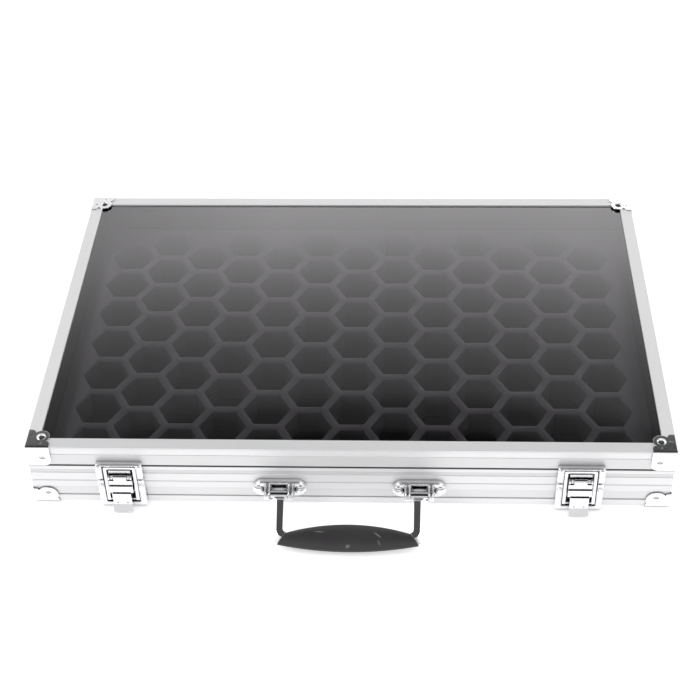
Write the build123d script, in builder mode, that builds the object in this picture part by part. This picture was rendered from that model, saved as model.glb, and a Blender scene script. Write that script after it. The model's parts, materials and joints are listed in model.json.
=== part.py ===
from build123d import *
from math import asin, cos, sin, sqrt
import os

os.makedirs("parts", exist_ok=True)

# A shallow aluminium storage box for dice, lying flat and closed. The origin is under its middle,
# x runs across the front, y away from the front and z up. All sizes are in millimetres.
case_width = 420.0
case_depth = 275.0
case_height = 51.0
parting_height = 34.65
fit = 0.05

# Frame extrusions of the lid
lid_rail_width = 8.5
lid_wall = 1.6
lid_inner_wall = 1.2
lid_lip = 1.2
glazing_groove = 3.3
glazing_back = 3.5
edge_round = 1.2
parting_round = 0.7

# Shallow recesses along the outer faces of the extrusions. Heights of the lid's are counted down
# from its top, heights of the base's up from the ground.
recess_depth = 0.35
recess_slope = 0.3
lid_recess_top = 1.8
lid_recess_bottom = 6.7
upper_recess_top = 31.0
upper_recess_bottom = 27.4
line_groove_top = 20.8
line_groove_bottom = 20.0
lower_recess_top = 14.6
lower_step_top = 7.15
lower_step_bottom = 6.45
lower_step_depth = 0.8

# Frame extrusions of the base
base_rail_width = 8.2
base_wall = 1.8
base_inner_wall = 1.2
base_flange = 1.2
panel_groove = 3.0
panel_back = 3.2
chamber_floor = 1.0
mitre_reach = 12.0

# Corner keys inside the extrusions
key_leg = 26.0
key_clearance = 0.1

# Window, its sealing strip and the corner blocks under it
window_thickness = 2.5
gasket_thickness = 0.8
window_edge_clearance = 0.5
block_side = 3.3
window_notch = 12.2
block_bottom = 36.0
block_round = 1.0

# Bottom panel and foam
foam_clearance = 0.2
foam_pad_thickness = 3.0
foam_top = 27.0
well_across_flats = 28.0
well_rib = 5.7
well_columns = 13
well_rows = 7

# Corner protectors
sheet = 0.8
corner_round = 1.4
lid_corner_reach_x = 16.0
lid_corner_reach_y = 15.5
lid_corner_drop = 16.0
lid_corner_leg_round = 5.0
lobe_radius = 5.5
end_lobe_radius = 3.0
end_lobe_offset = 2.5
top_rivet_x = 9.5
top_rivet_y = 9.0
side_rivet_offset = 10.5
side_rivet_drop = 10.5
base_corner_reach = 15.8
base_lobe_radius = 6.9
base_lobe_x = 8.8
base_lobe_height = 7.0
base_bump_width = 3.4
base_bump_height = 10.5
base_bump_round = 2.1
base_end_lobe_height = 1.5
base_rivet_offset = 9.0
base_rivet_height = 7.5
foot_rivet_offset = 6.0

# Rivets
small_head_radius = 2.9
small_head_height = 1.3
small_shank_radius = 1.3
small_shank_depth = 4.6
top_head_radius = 3.1
top_head_height = 1.0
top_shank_depth = 8.0
foot_head_radius = 2.2
foot_head_depth = 0.7
plate_head_radius = 2.1
plate_head_height = 0.9
plate_shank_depth = 8.0
handle_head_radius = 3.9
handle_head_height = 1.9
handle_shank_radius = 1.6

# Latches
latch_end_distance = 60.0
latch_width = 30.5
latch_proud = 4.2
latch_corner_round = 1.5
pocket_half_width = 11.2
pocket_floor = 0.9
keeper_bottom = 26.0
keeper_top = 39.0
keeper_pocket_top = 37.7
keeper_back_relief = 0.3
ridge_half_width = 7.2
ridge_bottom = 31.0
ridge_top = 33.6
ridge_proud = 3.6
keeper_rivet_height = 36.7
latch_rivet_offset = 13.1
latch_base_bottom = 0.9
latch_base_top = 25.0
latch_pocket_bottom = 4.5
latch_base_rivet_height = 20.2
lever_axis_height = 27.5
lever_axis_proud = 3.4
lever_round = 2.2
latch_pin_radius = 1.1
ear_inner = 4.5
ear_outer = 6.3
ear_round = 1.9
ear_gap = 0.2
lever_half_width = 7.8
lever_cheek_inner = 6.6
lever_low_half_width = 6.2
lever_low_cheek_inner = 5.0
lever_sheet = 1.2
lever_top = 25.2
lever_upper_proud = 5.0
lever_middle_proud = 6.2
lever_lower_proud = 7.4
lever_first_step = 21.6
lever_second_step = 15.9
lever_step_slope = 0.6
lever_step_lap = 0.7
tab_bend_height = 5.6
tab_end_height = 1.4
tab_end_proud = 10.5
cheek_back = 1.7
cheek_step_height = 17.2
ear_front_drop = 5.5
ear_back_drop = 9.5
ear_root_half = 0.4

bail_axis_height = 7.0
bail_axis_proud = 3.3
bail_pin_radius = 0.9
bail_inner = 8.5
bail_outer = 10.7
bail_bar_bottom = 33.8
bail_bar_top = 35.8
bail_bar_thickness = 1.8
bail_back = 1.2
bail_corner_round = 1.4
bail_arm_thickness = 1.6
dimple_offset = 3.25
dimple_height = 7.1
dimple_radius = 0.65
dimple_depth = 0.35

# Rear hinges of the lid
hinge_end_distance = 95.0
hinge_width = 40.0
hinge_leaf = 1.5
hinge_axis_proud = 3.0
knuckle_radius = 2.6
hinge_pin_radius = 1.2
middle_knuckle = 16.0
knuckle_gap = 0.3
base_leaf_bottom = 15.0
lid_leaf_top = 47.5
leaf_overlap = 1.15
leaf_tongue = 4.0
hinge_rivet_reach = 14.0
pin_head_radius = 1.9
pin_head_length = 0.8
base_leaf_rivet_height = 22.5
lid_leaf_rivet_height = 41.2

# Carrying handle and its brackets
handle_spacing = 91.6
bracket_width = 35.0
bracket_tall = 12.5
bracket_height = 17.75
bracket_proud = 4.2
handle_rivet_offset = 13.7
lug_centre = 7.65
lug_thickness = 3.6
lug_radius = 3.5
lug_root_proud = 3.0
lug_root_half = 5.3
lug_tip_proud = 9.6
lug_tip_half = 3.4
bracket_round = 0.8
handle_axis_height = 18.0
handle_axis_proud = 9.0
handle_pin_radius = 1.5
pin_end = 0.3
handle_barrel_radius = 2.9
handle_barrel_width = 11.2
handle_pitch = 20.0
arm_inner_back = 42.4
arm_inner_front = 42.05
arm_outer_back = 51.4
arm_outer_front = 50.5
arm_thickness = 5.0
bar_front_middle = 37.4
bar_front_end = 35.0
bar_inner_end = 27.3
bar_inner_middle = 24.6
bar_thickness = 3.2
frame_outer_round = 9.0
frame_inner_round = 3.0
frame_corner_reach = 33.6
frame_end_offset = 3.0
bevel_width = 4.6
bevel_drop = 2.2
grip_inner_middle = 20.5
grip_inner_end = 26.3
grip_inner_half = 39.5
grip_front_middle = 39.1
grip_front_end = 34.6
grip_front_half = 45.5
grip_half_thickness = 4.5
grip_rim_thickness = 1.7
grip_end_thickness = 3.1
grip_long_rise = 0.9
grip_overrun = 1.0

half_width = case_width / 2
half_depth = case_depth / 2
underside = sheet

face_planes = {
    "front": Plane((0, -half_depth, 0), x_dir=(1, 0, 0), z_dir=(0, -1, 0)),
    "rear": Plane((0, half_depth, 0), x_dir=(-1, 0, 0), z_dir=(0, 1, 0)),
    "left": Plane((-half_width, 0, 0), x_dir=(0, -1, 0), z_dir=(-1, 0, 0)),
    "right": Plane((half_width, 0, 0), x_dir=(0, 1, 0), z_dir=(1, 0, 0)),
}
wall_lengths = {"front": case_width, "rear": case_width, "left": case_depth, "right": case_depth}


def save(piece, name):
    piece.part.label = name
    export_step(piece.part, f"parts/{name}.step")


def front_face(x):
    """Plane on the front face: local x to the right, y up and z towards the viewer."""
    return Plane((x, -half_depth, 0), x_dir=(1, 0, 0), z_dir=(0, -1, 0))


def rear_face(x):
    return Plane((x, half_depth, 0), x_dir=(-1, 0, 0), z_dir=(0, 1, 0))


def side_view(x, y, outward):
    """Plane across the case at x: local x is the distance proud of the face at y, local y is up."""
    return Plane((x, y, 0), x_dir=(0, outward, 0), z_dir=(outward, 0, 0))


def drill(rivets, radius):
    """Cut the shank holes of these rivets from the part being built."""
    for spot, depth in rivets:
        with Locations(spot.location):
            Cylinder(radius, 2 * depth + 2 * fit, mode=Mode.SUBTRACT)


def add_rivet(spot, depth, head_radius, head_height, shank_radius):
    """Domed rivet: the head stands on the surface at spot, the shank goes into it."""
    cap = (head_radius**2 + head_height**2) / (2 * head_height)
    half_angle = asin(head_radius / cap) / 2
    middle = (cap * sin(half_angle), head_height - cap + cap * cos(half_angle))
    with BuildSketch(Plane(spot.origin, x_dir=spot.x_dir, z_dir=-spot.y_dir)) as profile:
        with BuildLine():
            Polyline((0, head_height), (0, -depth), (shank_radius, -depth), (shank_radius, 0), (head_radius, 0))
            ThreePointArc((head_radius, 0), middle, (0, head_height))
        make_face()
    revolve(profile.sketch, axis=Axis(spot.origin, spot.z_dir))


def add_flush_rivet(spot, depth, head_radius, head_depth, shank_radius, grow=0.0, mode=Mode.ADD):
    """Countersunk rivet whose head is level with the surface at spot."""
    with BuildSketch(Plane(spot.origin, x_dir=spot.x_dir, z_dir=-spot.y_dir)) as profile:
        with BuildLine():
            Polyline(
                (0, 0),
                (0, -depth - grow),
                (shank_radius + grow, -depth - grow),
                (shank_radius + grow, -head_depth - grow),
                (head_radius + grow, 0),
                close=True,
            )
        make_face()
    revolve(profile.sketch, axis=Axis(spot.origin, spot.z_dir), mode=mode)


def near_wall(rivets, side):
    """The rivets that come within the mitre's reach of this wall."""
    face = face_planes[side]
    return [rivet for rivet in rivets if face.to_local_coords(rivet[0].origin).Z > -mitre_reach]


# Places of the rivets, each with the depth of its shank
corner_signs = [(-1, -1), (1, -1), (-1, 1), (1, 1)]
lid_side_height = case_height - side_rivet_drop
lid_top_rivets = []
lid_side_rivets = []
base_side_rivets = []
foot_rivets = []
for sx, sy in corner_signs:
    top_spot = Plane(
        (sx * (half_width - top_rivet_x), sy * (half_depth - top_rivet_y), case_height + sheet),
        z_dir=(0, 0, 1),
    )
    lid_top_rivets.append((top_spot, top_shank_depth))
    foot_spot = Plane(
        (sx * (half_width - foot_rivet_offset), sy * (half_depth - foot_rivet_offset), 0),
        z_dir=(0, 0, -1),
    )
    foot_rivets.append((foot_spot, small_shank_depth + 2 * sheet))
    for offset, height, rivets in (
        (side_rivet_offset, lid_side_height, lid_side_rivets),
        (base_rivet_offset, base_rivet_height, base_side_rivets),
    ):
        front_spot = Plane((sx * (half_width - offset), sy * (half_depth + sheet), height), z_dir=(0, sy, 0))
        side_spot = Plane((sx * (half_width + sheet), sy * (half_depth - offset), height), z_dir=(sx, 0, 0))
        rivets.append((front_spot, small_shank_depth))
        rivets.append((side_spot, small_shank_depth))

latch_x = half_width - latch_end_distance
latch_sides = {"left": -latch_x, "right": latch_x}
handle_sides = {"left": -handle_spacing / 2, "right": handle_spacing / 2}
hinge_x = half_width - hinge_end_distance
hinge_centres = [-hinge_x, hinge_x]


def front_rivets(centres, offset, height, proud, depth):
    spots = []
    for x in centres:
        for sign in (-1, 1):
            spots.append((Plane((x + sign * offset, -half_depth - proud, height), z_dir=(0, -1, 0)), depth))
    return spots


def rear_rivets(height):
    spots = []
    for x in hinge_centres:
        for step in (-1, 0, 1):
            origin = (x + step * hinge_rivet_reach, half_depth + hinge_leaf, height)
            spots.append((Plane(origin, z_dir=(0, 1, 0)), small_shank_depth))
    return spots


keeper_rivets = front_rivets(
    latch_sides.values(), latch_rivet_offset, keeper_rivet_height, latch_proud, plate_shank_depth
)
latch_base_rivets = front_rivets(
    latch_sides.values(), latch_rivet_offset, latch_base_rivet_height, latch_proud, plate_shank_depth
)
handle_rivets = front_rivets(
    handle_sides.values(), handle_rivet_offset, bracket_height, bracket_proud, plate_shank_depth
)
hinge_lid_rivets = rear_rivets(lid_leaf_rivet_height)
hinge_base_rivets = rear_rivets(base_leaf_rivet_height)


# Frame extrusions. A section point is (distance in from the outer face, height above the ground).
def lid_section():
    shelf_top = case_height - lid_lip - glazing_groove
    with BuildSketch() as section:
        with BuildLine():
            Polyline(
                (0, parting_height),
                (lid_rail_width, parting_height),
                (lid_rail_width, shelf_top),
                (glazing_back, shelf_top),
                (glazing_back, case_height - lid_lip),
                (lid_rail_width, case_height - lid_lip),
                (lid_rail_width, case_height),
                (0, case_height),
                (0, case_height - lid_recess_top),
                (recess_depth, case_height - lid_recess_top - recess_slope),
                (recess_depth, case_height - lid_recess_bottom + recess_slope),
                (0, case_height - lid_recess_bottom),
                close=True,
            )
        make_face()
        outer_low = section.vertices().sort_by_distance((0, parting_height))[0]
        outer_high = section.vertices().sort_by_distance((0, case_height))[0]
        fillet(outer_low, parting_round)
        fillet(outer_high, edge_round)
        with BuildLine():
            Polyline(
                (lid_wall, parting_height + lid_inner_wall),
                (lid_rail_width - lid_inner_wall, parting_height + lid_inner_wall),
                (lid_rail_width - lid_inner_wall, shelf_top - lid_inner_wall),
                (lid_wall, shelf_top - lid_inner_wall),
                close=True,
            )
        make_face(mode=Mode.SUBTRACT)
    return section.sketch


base_chamber_bottom = underside + base_flange + panel_groove + chamber_floor
base_chamber_top = parting_height - base_inner_wall


def base_section():
    groove_bottom = underside + base_flange
    groove_top = groove_bottom + panel_groove
    with BuildSketch() as section:
        with BuildLine():
            Polyline(
                (0, underside),
                (base_rail_width, underside),
                (base_rail_width, groove_bottom),
                (panel_back, groove_bottom),
                (panel_back, groove_top),
                (base_rail_width, groove_top),
                (base_rail_width, parting_height),
                (0, parting_height),
                (0, upper_recess_top),
                (recess_depth, upper_recess_top - recess_slope),
                (recess_depth, upper_recess_bottom + recess_slope),
                (0, upper_recess_bottom),
                (0, line_groove_top),
                (recess_depth, (line_groove_top + line_groove_bottom) / 2),
                (0, line_groove_bottom),
                (0, lower_recess_top),
                (recess_depth, lower_recess_top - recess_slope),
                (recess_depth, lower_step_top),
                (lower_step_depth, lower_step_top),
                (lower_step_depth, lower_step_bottom),
                (0, lower_step_bottom),
                close=True,
            )
        make_face()
        outer_low = section.vertices().sort_by_distance((0, underside))[0]
        outer_high = section.vertices().sort_by_distance((0, parting_height))[0]
        fillet(outer_low, edge_round)
        fillet(outer_high, edge_round)
        with BuildLine():
            Polyline(
                (base_wall, base_chamber_bottom),
                (base_rail_width - base_inner_wall, base_chamber_bottom),
                (base_rail_width - base_inner_wall, base_chamber_top),
                (base_wall, base_chamber_top),
                close=True,
            )
        make_face(mode=Mode.SUBTRACT)
    return section.sketch


def build_rail(name, side, section, holes, extra_holes):
    face = face_planes[side]
    half_length = wall_lengths[side] / 2
    with BuildPart() as rail:
        with BuildSketch(Plane(face.origin, x_dir=-face.z_dir, z_dir=face.x_dir)):
            add(section)
        extrude(amount=half_length, both=True)
        with BuildSketch(Plane(face.origin, x_dir=face.x_dir, z_dir=(0, 0, 1))):
            with BuildLine():
                Polyline(
                    (-half_length, 0),
                    (half_length, 0),
                    (half_length - mitre_reach, mitre_reach),
                    (mitre_reach - half_length, mitre_reach),
                    close=True,
                )
            make_face()
        extrude(amount=case_height + 1, mode=Mode.INTERSECT)
        drill(near_wall(holes, side), small_shank_radius + fit)
        drill(near_wall(extra_holes, side), handle_shank_radius + fit)
    save(rail, name)


for side in face_planes:
    build_rail(
        f"lid_rail_{side}", side, lid_section(), lid_top_rivets + lid_side_rivets + keeper_rivets + hinge_lid_rivets, []
    )
    build_rail(
        f"base_rail_{side}",
        side,
        base_section(),
        base_side_rivets + foot_rivets + latch_base_rivets + hinge_base_rivets,
        handle_rivets,
    )


def build_keys(name, low, high, bottom, top, holes):
    """Four angle pieces that join the extrusions at the mitres from inside."""
    with BuildPart() as keys:
        with BuildSketch(Plane((-half_width, -half_depth, bottom))):
            with BuildLine():
                Polyline(
                    (low, low), (key_leg, low), (key_leg, high), (high, high), (high, key_leg), (low, key_leg),
                    close=True,
                )
            make_face()
        extrude(amount=top - bottom)
        mirror(about=Plane.YZ)
        mirror(about=Plane.XZ)
        drill(holes, small_shank_radius + fit)
    save(keys, name)


build_keys(
    "lid_corner_keys",
    lid_wall + key_clearance,
    lid_rail_width - lid_inner_wall - key_clearance,
    parting_height + lid_inner_wall + key_clearance,
    case_height - lid_lip - glazing_groove - lid_inner_wall - key_clearance,
    lid_top_rivets + lid_side_rivets,
)
build_keys(
    "base_corner_keys",
    base_wall + key_clearance,
    base_rail_width - base_inner_wall - key_clearance,
    base_chamber_bottom + key_clearance,
    base_chamber_top - key_clearance,
    base_side_rivets + foot_rivets,
)


# Window, sealing strip and corner blocks
def window_outline(inset, notch):
    """Rectangle inset from the case's outline, with its four corners notched for the blocks."""
    with BuildSketch() as outline:
        Rectangle(case_width - 2 * inset, case_depth - 2 * inset)
        for sx, sy in corner_signs:
            with Locations((sx * half_width, sy * half_depth)):
                Rectangle(2 * notch, 2 * notch, mode=Mode.SUBTRACT)
    return outline.sketch


window_top = case_height - lid_lip
with BuildPart() as window:
    with BuildSketch(Plane.XY.offset(window_top - window_thickness)):
        add(window_outline(glazing_back + window_edge_clearance, window_notch))
    extrude(amount=window_thickness)
save(window, "lid_window")

with BuildPart() as gasket:
    with BuildSketch(Plane.XY.offset(window_top - glazing_groove)):
        Rectangle(
            case_width - 2 * (glazing_back + window_edge_clearance),
            case_depth - 2 * (glazing_back + window_edge_clearance),
        )
        Rectangle(case_width - 2 * lid_rail_width, case_depth - 2 * lid_rail_width, mode=Mode.SUBTRACT)
    extrude(amount=gasket_thickness)
    drill(lid_top_rivets, small_shank_radius + fit)
save(gasket, "lid_gasket")

with BuildPart() as corner_blocks:
    with BuildSketch(Plane((lid_rail_width - half_width, lid_rail_width - half_depth, block_bottom))) as block:
        Rectangle(block_side, block_side, align=(Align.MIN, Align.MIN))
        fillet(block.vertices().sort_by_distance((block_side, block_side))[0], block_round)
    extrude(amount=window_top - block_bottom)
    mirror(about=Plane.YZ)
    mirror(about=Plane.XZ)
    drill(lid_top_rivets, small_shank_radius + fit)
save(corner_blocks, "lid_corner_blocks")

# Bottom panel and foam
panel_top = underside + base_flange + panel_groove
with BuildPart() as base_panel:
    with BuildSketch(Plane.XY.offset(panel_top - panel_groove)):
        Rectangle(
            case_width - 2 * (panel_back + window_edge_clearance),
            case_depth - 2 * (panel_back + window_edge_clearance),
        )
    extrude(amount=panel_groove)
    drill(foot_rivets, small_shank_radius + fit)
save(base_panel, "base_panel")

foam_width = case_width - 2 * (base_rail_width + foam_clearance)
foam_depth = case_depth - 2 * (base_rail_width + foam_clearance)
with BuildPart() as foam_pad:
    with BuildSketch(Plane.XY.offset(panel_top)):
        Rectangle(foam_width, foam_depth)
    extrude(amount=foam_pad_thickness)
save(foam_pad, "foam_pad")

well_pitch_y = well_across_flats + well_rib
well_pitch_x = well_pitch_y * sqrt(3) / 2
foam_bottom = panel_top + foam_pad_thickness


def well_centres():
    centres = []
    for column in range(well_columns):
        step = column - well_columns // 2
        shift = well_pitch_y / 4 if step % 2 else -well_pitch_y / 4
        for row in range(well_rows):
            centres.append((step * well_pitch_x, (row - well_rows // 2) * well_pitch_y + shift))
    return centres


with BuildPart() as foam_insert:
    with BuildSketch(Plane.XY.offset(foam_bottom)):
        Rectangle(foam_width, foam_depth)
        with Locations(*well_centres()):
            RegularPolygon(well_across_flats / 2, 6, major_radius=False, mode=Mode.SUBTRACT)
    extrude(amount=foam_top - foam_bottom)
save(foam_insert, "foam_insert")


# Corner protectors. They are shaped at the front left corner and mirrored to the others.
def block_from(x0, y0, x1, y1):
    with Locations((x0, y0)):
        Rectangle(x1 - x0, y1 - y0, align=(Align.MIN, Align.MIN))


def lobed_leg(reach_x, reach_y, lobe_x, lobe_y):
    """Outline of a top or bottom leg: a large lobe between two small ones."""
    with BuildSketch() as outline:
        block_from(-sheet, -sheet, reach_x, end_lobe_offset)
        block_from(-sheet, -sheet, end_lobe_offset, reach_y)
        block_from(-sheet, -sheet, lobe_x, lobe_y)
        with Locations((reach_x - end_lobe_radius, end_lobe_offset), (end_lobe_offset, reach_y - end_lobe_radius)):
            Circle(end_lobe_radius)
        with Locations((lobe_x, lobe_y)):
            Circle(lobe_radius)
    return outline.sketch


def rounded_leg(reach, drop, radius):
    """Outline of an upright leg of the lid's protector, measured down from the top."""
    with BuildSketch() as outline:
        block_from(-sheet, 0, reach, drop)
        fillet(outline.vertices().sort_by_distance((reach, drop))[0], radius)
    return outline.sketch


def bumped_leg(reach):
    """Outline of an upright leg of the base's protector, measured up from the ground."""
    with BuildSketch() as outline:
        block_from(-sheet, 0, reach, end_lobe_offset)
        block_from(-sheet, 0, base_bump_width, base_bump_height)
        block_from(-sheet, 0, base_lobe_x, base_lobe_height)
        block_from(-sheet, base_bump_height, base_bump_width - base_bump_round, base_bump_height + base_bump_round)
        with Locations((base_bump_width - base_bump_round, base_bump_height)):
            Circle(base_bump_round)
        with Locations((reach - end_lobe_radius, base_end_lobe_height)):
            Circle(end_lobe_radius)
        with Locations((reach / 2, -end_lobe_radius)):
            Rectangle(2 * reach, 2 * end_lobe_radius, mode=Mode.SUBTRACT)
        with Locations((base_lobe_x, base_lobe_height)):
            Circle(base_lobe_radius)
    return outline.sketch


def shape_corner(flat_leg, flat_plane, front_leg, side_leg, edge_height, up, holes):
    """Bent sheet over one corner of the case. up is 1 when the legs rise from edge_height."""
    corner_x = -half_width
    corner_y = -half_depth
    with BuildPart() as corner:
        with BuildSketch(flat_plane) as flat:
            add(flat_leg)
        extrude(flat.sketch, amount=sheet)
        front_plane = Plane((corner_x, corner_y, edge_height), x_dir=(1, 0, 0), z_dir=(0, -up, 0))
        with BuildSketch(front_plane) as front:
            add(front_leg)
        extrude(front.sketch, amount=up * sheet)
        side_plane = Plane((corner_x, corner_y, edge_height), x_dir=(0, 1, 0), z_dir=(up, 0, 0))
        with BuildSketch(side_plane) as side:
            add(side_leg)
        extrude(side.sketch, amount=-up * sheet)
        outer_z = flat_plane.origin.Z + (sheet if up < 0 else 0)
        bends = [
            edge
            for edge in corner.edges().filter_by(GeomType.LINE)
            if (abs(edge.center().X - corner_x + sheet) < 0.01 and abs(edge.center().Y - corner_y + sheet) < 0.01)
            or (abs(edge.center().X - corner_x + sheet) < 0.01 and abs(edge.center().Z - outer_z) < 0.01)
            or (abs(edge.center().Y - corner_y + sheet) < 0.01 and abs(edge.center().Z - outer_z) < 0.01)
        ]
        fillet(bends, corner_round)
        drill(holes, small_shank_radius + fit)
    return corner


def place_corners(prefix, shape):
    with BuildPart() as front_left:
        add(shape.part)
    save(front_left, f"{prefix}_front_left")
    with BuildPart() as front_right:
        mirror(shape.part, about=Plane.YZ)
    save(front_right, f"{prefix}_front_right")
    with BuildPart() as rear_left:
        mirror(shape.part, about=Plane.XZ)
    save(rear_left, f"{prefix}_rear_left")
    with BuildPart() as rear_right:
        add(shape.part, rotation=(0, 0, 180))
    save(rear_right, f"{prefix}_rear_right")


lid_corner = shape_corner(
    lobed_leg(lid_corner_reach_x, lid_corner_reach_y, top_rivet_x, top_rivet_y),
    Plane((-half_width, -half_depth, case_height)),
    rounded_leg(lid_corner_reach_x, lid_corner_drop, lid_corner_leg_round),
    rounded_leg(lid_corner_reach_y, lid_corner_drop, lid_corner_leg_round),
    case_height,
    -1,
    lid_top_rivets[:1] + lid_side_rivets[:2],
)
place_corners("lid_corner", lid_corner)

base_corner = shape_corner(
    lobed_leg(base_corner_reach, base_corner_reach, foot_rivet_offset, foot_rivet_offset),
    Plane((-half_width, -half_depth, 0)),
    bumped_leg(base_corner_reach),
    bumped_leg(base_corner_reach),
    0,
    1,
    base_side_rivets[:2],
)
with BuildPart() as base_corner_drilled:
    add(base_corner.part)
    add_flush_rivet(
        foot_rivets[0][0], small_shank_depth, foot_head_radius, foot_head_depth, small_shank_radius, fit,
        Mode.SUBTRACT,
    )
place_corners("base_corner", base_corner_drilled)

with BuildPart() as lid_corner_rivets:
    for spot, depth in lid_top_rivets:
        add_rivet(spot, depth, top_head_radius, top_head_height, small_shank_radius)
    for spot, depth in lid_side_rivets:
        add_rivet(spot, depth, small_head_radius, small_head_height, small_shank_radius)
save(lid_corner_rivets, "lid_corner_rivets")

with BuildPart() as base_corner_rivets:
    for spot, depth in foot_rivets:
        add_flush_rivet(spot, depth, foot_head_radius, foot_head_depth, small_shank_radius)
    for spot, depth in base_side_rivets:
        add_rivet(spot, depth, small_head_radius, small_head_height, small_shank_radius)
save(base_corner_rivets, "base_corner_rivets")

# Latches
def build_keeper(name, x):
    """Plate on the lid with a flat-topped ridge that the bail pulls down on."""
    face = front_face(x)
    with BuildPart() as keeper:
        with BuildSketch(face):
            with Locations((0, (keeper_bottom + keeper_top) / 2)):
                RectangleRounded(latch_width, keeper_top - keeper_bottom, latch_corner_round)
        extrude(amount=latch_proud)
        with BuildSketch(face.offset(pocket_floor)):
            block_from(-pocket_half_width, keeper_bottom - 1, pocket_half_width, keeper_pocket_top)
        extrude(amount=latch_proud, mode=Mode.SUBTRACT)
        with BuildSketch(face.offset(pocket_floor / 2)):
            block_from(-ridge_half_width, ridge_bottom, ridge_half_width, ridge_top)
        extrude(amount=ridge_proud - pocket_floor / 2)
        with BuildSketch(face):
            block_from(-latch_width, keeper_bottom - 1, latch_width, parting_height)
        extrude(amount=keeper_back_relief, mode=Mode.SUBTRACT)
        drill(keeper_rivets, small_shank_radius + fit)
    save(keeper, name)


def build_latch_base(name, x):
    """Plate on the base with two ears that carry the lever's pin."""
    face = front_face(x)
    with BuildPart() as plate:
        with BuildSketch(face):
            with Locations((0, (latch_base_bottom + latch_base_top) / 2)):
                RectangleRounded(latch_width, latch_base_top - latch_base_bottom, latch_corner_round)
        extrude(amount=latch_proud)
        with BuildSketch(face.offset(pocket_floor)):
            block_from(-pocket_half_width, latch_pocket_bottom, pocket_half_width, latch_base_top + 1)
        extrude(amount=latch_proud, mode=Mode.SUBTRACT)
        for sign in (-1, 1):
            middle = sign * (ear_inner + ear_outer) / 2
            with BuildSketch(side_view(x + middle, -half_depth, -1)) as ear:
                with BuildLine():
                    Polyline(
                        (pocket_floor / 2, lever_axis_height - ear_back_drop),
                        (lever_axis_proud - ear_gap, lever_axis_height - ear_front_drop),
                        (lever_axis_proud - ear_gap, lever_axis_height),
                        (lever_axis_proud - ear_round, lever_axis_height),
                        (lever_axis_proud - ear_round, latch_base_top + ear_root_half),
                        (pocket_floor / 2, latch_base_top - ear_root_half),
                        close=True,
                    )
                make_face()
                with Locations((lever_axis_proud, lever_axis_height)):
                    Circle(ear_round)
                    Circle(latch_pin_radius + fit, mode=Mode.SUBTRACT)
            extrude(ear.sketch, amount=(ear_outer - ear_inner) / 2, both=True)
        drill(latch_base_rivets, small_shank_radius + fit)
    save(plate, name)


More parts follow.
